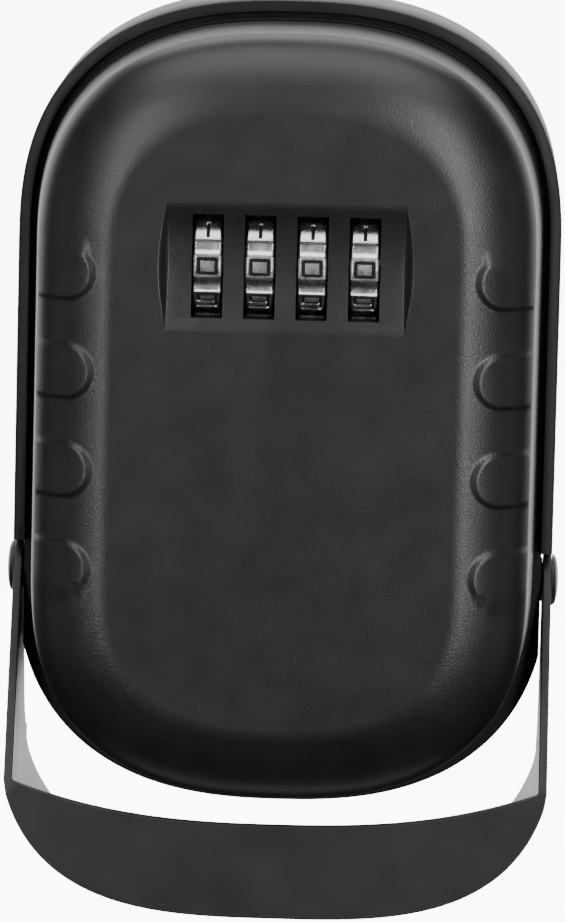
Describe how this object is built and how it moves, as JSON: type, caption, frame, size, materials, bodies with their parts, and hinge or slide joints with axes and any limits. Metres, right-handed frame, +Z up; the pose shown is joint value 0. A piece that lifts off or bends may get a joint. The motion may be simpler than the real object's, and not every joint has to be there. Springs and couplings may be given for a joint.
{
  "type": "key lock box",
  "caption": "Wall-mounted key lock box with a rounded dark cast case, a scooped dial panel with number wheels, side grip pads and a U-shaped guard hung below.",
  "frame": {"origin": "middle of the four wall screw holes, on the wall plane", "axes": "+X to the right as seen from the front, +Y into the wall, +Z up"},
  "size_m": [0.0904, 0.048, 0.1483],
  "materials": {
    "cast_housing": "satin black coating on a die-cast housing",
    "cast_cover": "satin dark grey coating on a die-cast cover",
    "guard_steel": "satin black coating on bent sheet steel",
    "pad_rubber": "matt",
    "gasket_rubber": "matt",
    "plated_steel": "zinc plated",
    "rivet_steel": "black oxide, satin",
    "spacer_plastic": "matt",
    "lock_plate": "stamped steel",
    "spring_steel": "spring steel",
    "cast_wheel": "bright cast pads with dark figures",
    "sleeve_brass": "turned"
  },
  "bodies": {
    "housing": {"back_housing": "cast_housing", "rear_pad": "pad_rubber", "seam_gasket": "gasket_rubber", "latch_studs": "plated_steel", "key_hook": "plated_steel", "hook_rivets": "plated_steel", "guard_rivets": "rivet_steel", "guard_spacers": "spacer_plastic", "rivet_clips": "spring_steel"},
    "guard": {"swing_guard": "guard_steel"},
    "cover": {"front_cover": "cast_cover", "lock_chassis": "lock_plate", "chassis_screws": "plated_steel", "dial_shaft": "plated_steel", "shaft_clips": "spring_steel", "detent_spring": "spring_steel", "lock_back_plate": "lock_plate", "back_plate_screws": "plated_steel"},
    "slide": {"lock_slide": "lock_plate"},
    "reset": {"reset_lever": "plated_steel"},
    "wheel_1": {"number_wheel_1": "cast_wheel"},
    "wheel_2": {"number_wheel_2": "cast_wheel"},
    "wheel_3": {"number_wheel_3": "cast_wheel"},
    "wheel_4": {"number_wheel_4": "cast_wheel"},
    "sleeve_1": {"code_sleeve_1": "sleeve_brass"},
    "sleeve_2": {"code_sleeve_2": "sleeve_brass"},
    "sleeve_3": {"code_sleeve_3": "sleeve_brass"},
    "sleeve_4": {"code_sleeve_4": "sleeve_brass"}
  },
  "joints": [
    {"name": "guard_swing", "type": "hinge", "parent": "housing", "child": "guard", "pos_m": [0, -0.018, -0.0285], "axis": [1, 0, 0], "range_deg": [-65, 0]},
    {"name": "cover_pull", "type": "slide", "parent": "housing", "child": "cover", "axis": [0, -1, 0], "range_m": [0, 0.04]},
    {"name": "dial_1_turn", "type": "hinge", "parent": "cover", "child": "wheel_1", "pos_m": [-0.01249, -0.038, 0.0252], "axis": [1, 0, 0], "continuous": true},
    {"name": "dial_2_turn", "type": "hinge", "parent": "cover", "child": "wheel_2", "pos_m": [-0.00417, -0.038, 0.0252], "axis": [1, 0, 0], "continuous": true},
    {"name": "dial_3_turn", "type": "hinge", "parent": "cover", "child": "wheel_3", "pos_m": [0.00417, -0.038, 0.0252], "axis": [1, 0, 0], "continuous": true},
    {"name": "dial_4_turn", "type": "hinge", "parent": "cover", "child": "wheel_4", "pos_m": [0.01249, -0.038, 0.0252], "axis": [1, 0, 0], "continuous": true},
    {"name": "slide_lock", "type": "slide", "parent": "cover", "child": "slide", "axis": [-1, 0, 0], "range_m": [0, 0.0021]},
    {"name": "reset_push", "type": "slide", "parent": "cover", "child": "reset", "axis": [1, 0, 0], "range_m": [-0.0008, 0]},
    {"name": "sleeve_1_shift", "type": "slide", "parent": "wheel_1", "child": "sleeve_1", "axis": [1, 0, 0], "range_m": [-0.0008, 0]},
    {"name": "sleeve_2_shift", "type": "slide", "parent": "wheel_2", "child": "sleeve_2", "axis": [1, 0, 0], "range_m": [-0.0008, 0]},
    {"name": "sleeve_3_shift", "type": "slide", "parent": "wheel_3", "child": "sleeve_3", "axis": [1, 0, 0], "range_m": [-0.0008, 0]},
    {"name": "sleeve_4_shift", "type": "slide", "parent": "wheel_4", "child": "sleeve_4", "axis": [1, 0, 0], "range_m": [-0.0008, 0]}
  ],
  "couplings": [
    {"joint": "sleeve_1_shift", "follows": "reset_push", "ratio": 1},
    {"joint": "sleeve_2_shift", "follows": "reset_push", "ratio": 1},
    {"joint": "sleeve_3_shift", "follows": "reset_push", "ratio": 1},
    {"joint": "sleeve_4_shift", "follows": "reset_push", "ratio": 1}
  ]
}
